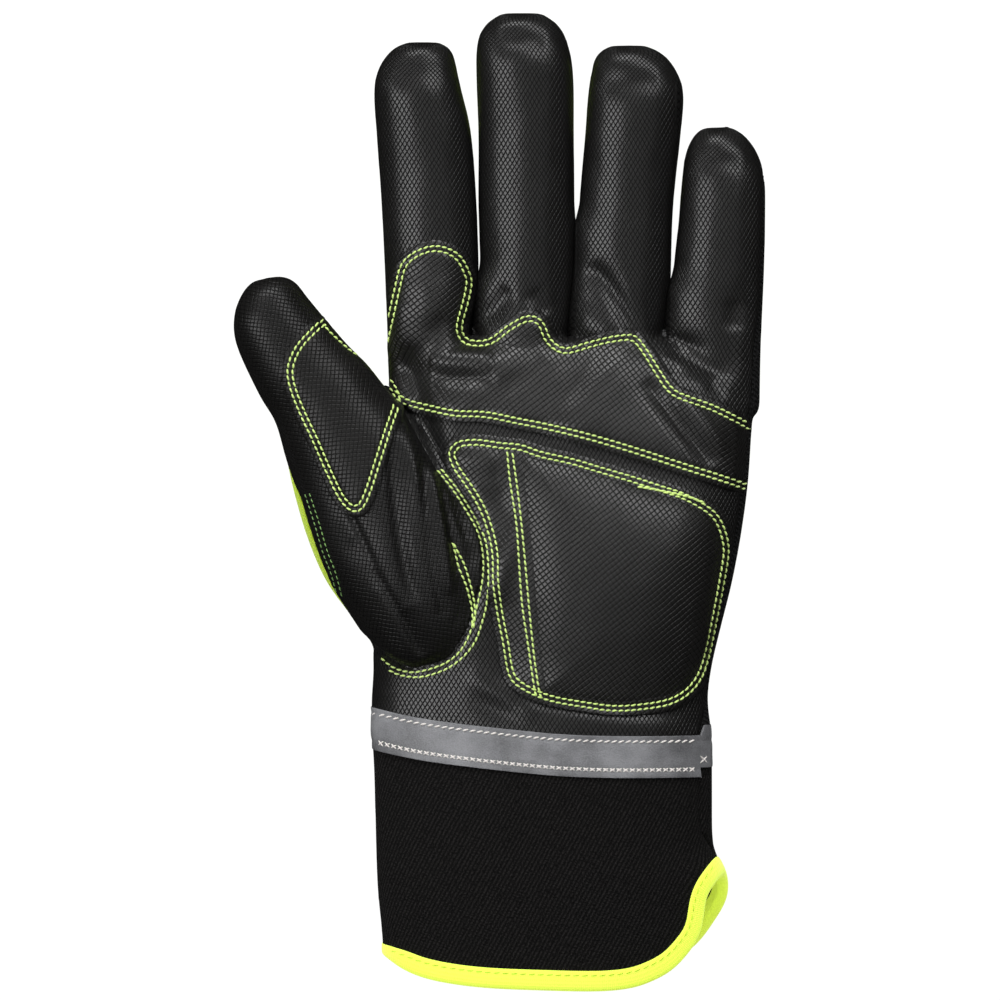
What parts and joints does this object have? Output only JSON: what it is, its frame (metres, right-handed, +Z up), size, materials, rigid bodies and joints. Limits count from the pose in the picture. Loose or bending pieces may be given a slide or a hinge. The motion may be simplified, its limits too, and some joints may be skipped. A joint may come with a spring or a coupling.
{
  "type": "insulated mechanic glove",
  "caption": "Left-hand insulated work glove with a padded embossed palm, sewn grip patches, a wide slit cuff with a reflective band and a bright bound hem.",
  "frame": {"origin": "middle of the glove's bounding box, on the surface that its back lies on", "axes": "+Y from the cuff to the fingertips, the thumb points to -X, +Z up out of the palm"},
  "size_m": [0.1522, 0.2802, 0.044],
  "materials": {
    "leather": "black synthetic leather, finely embossed, satin",
    "patch_leather": "black synthetic leather with a coarser emboss, satin",
    "bright_fabric": "high-visibility yellow knitted fabric",
    "stretch_fabric": "black ribbed stretch fabric",
    "softshell": "black twill softshell, matt",
    "reflective_tape": "grey reflective tape, slightly mottled",
    "bright_binding": "bright yellow binding tape, matt"
  },
  "bodies": {
    "root": {"palm_panel": "leather", "back_panel": "bright_fabric", "fourchette_index_middle": "stretch_fabric", "fourchette_middle_ring": "stretch_fabric", "fourchette_ring_little": "stretch_fabric", "thumb_front": "leather", "thumb_back": "bright_fabric", "palm_patch": "patch_leather", "thumb_patch": "patch_leather", "heel_patch": "patch_leather", "heel_pad": "patch_leather", "cuff_front": "softshell", "cuff_back": "softshell", "reflective_band_front": "reflective_tape", "reflective_band_back": "reflective_tape", "hem_binding": "bright_binding"}
  },
  "joints": []
}
